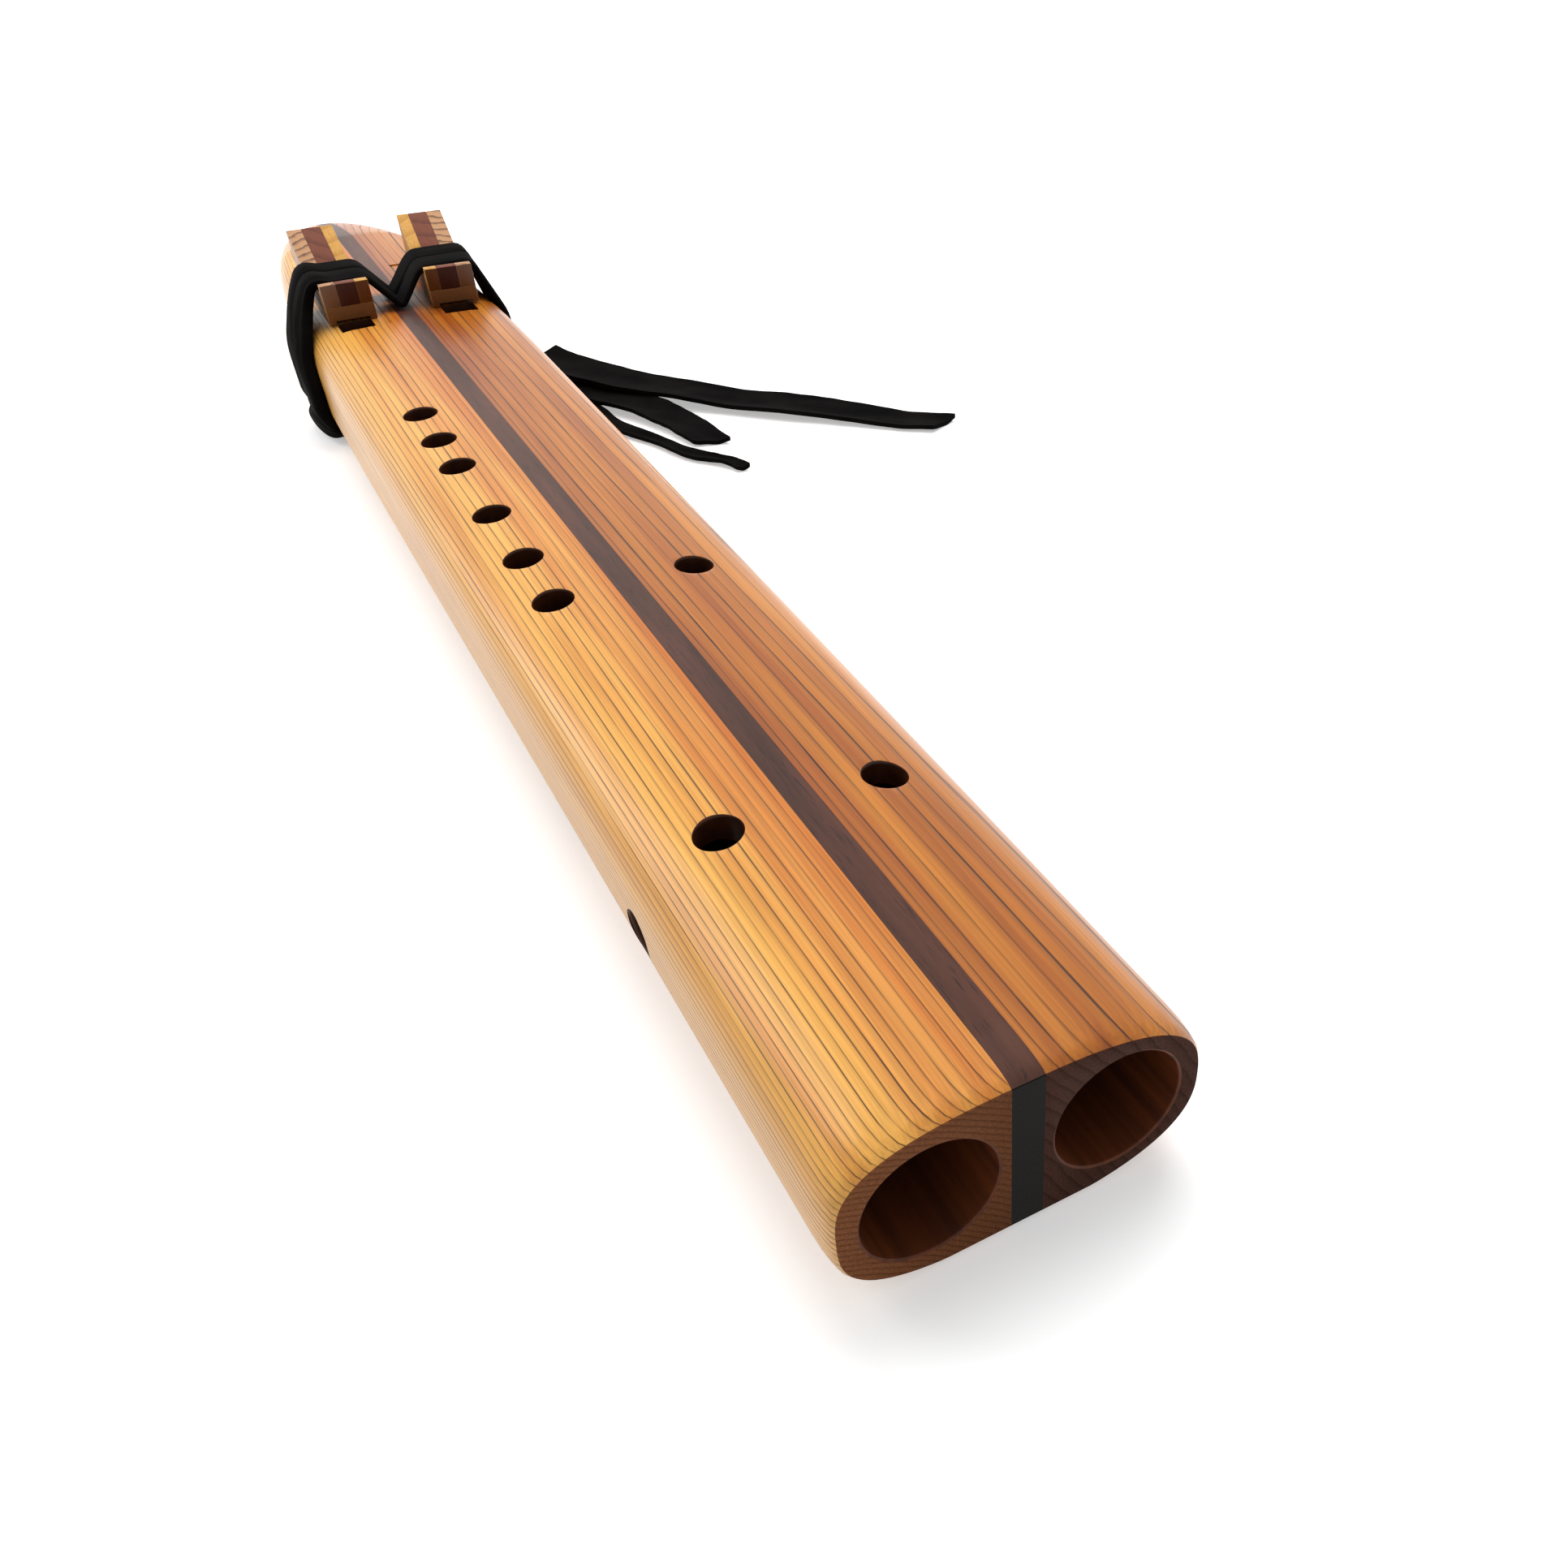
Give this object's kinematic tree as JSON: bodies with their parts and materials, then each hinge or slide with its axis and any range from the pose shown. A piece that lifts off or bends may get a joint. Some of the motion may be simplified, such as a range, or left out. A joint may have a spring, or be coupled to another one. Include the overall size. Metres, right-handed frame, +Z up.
{
  "type": "double_flute",
  "caption": "Double drone flute in two cedar woods joined by a walnut strip, with laminated wooden blocks tied on by a black leather lace.",
  "frame": {"origin": "centre of the bounding box's bottom face, measured without the loose lacing; the flute rests on z = 0", "axes": "Y runs along the bores with the open foot at -Y and the mouth end at +Y; Z is up, finger holes up; X is across, melody chamber at -X"},
  "size_m": [0.2039, 0.611, 0.0559],
  "materials": {
    "honey_cedar": "thin clear lacquer, semi-gloss",
    "red_cedar": "thin clear lacquer, semi-gloss",
    "walnut": "thin clear lacquer, semi-gloss",
    "block_cedar": "satin",
    "block_maple": "satin",
    "block_walnut": "satin",
    "black_leather": "soft satin"
  },
  "bodies": {
    "flute": {"melody_top": "honey_cedar", "melody_bottom": "honey_cedar", "drone_top": "red_cedar", "drone_bottom": "red_cedar", "centre_strip": "walnut", "melody_divider": "honey_cedar", "drone_divider": "red_cedar", "lace_turn_front": "black_leather", "lace_turn_rear": "black_leather", "lace_knot": "black_leather", "lace_tail_long": "black_leather", "lace_tail_short": "black_leather", "lace_tail_thin": "black_leather"},
    "melody_block": {"melody_block_base": "block_cedar", "melody_block_outer_cheek": "block_cedar", "melody_block_core": "block_walnut", "melody_block_inner_cheek": "block_maple"},
    "drone_block": {"drone_block_base": "block_cedar", "drone_block_outer_cheek": "block_cedar", "drone_block_core": "block_walnut", "drone_block_inner_cheek": "block_maple"}
  },
  "joints": [
    {"name": "melody_block_slide", "type": "slide", "parent": "flute", "child": "melody_block", "axis": [0, 1, 0], "range_m": [-0.002, 0.002]},
    {"name": "drone_block_slide", "type": "slide", "parent": "flute", "child": "drone_block", "axis": [0.0732, 0.9973, 0], "range_m": [-0.002, 0.002]}
  ]
}
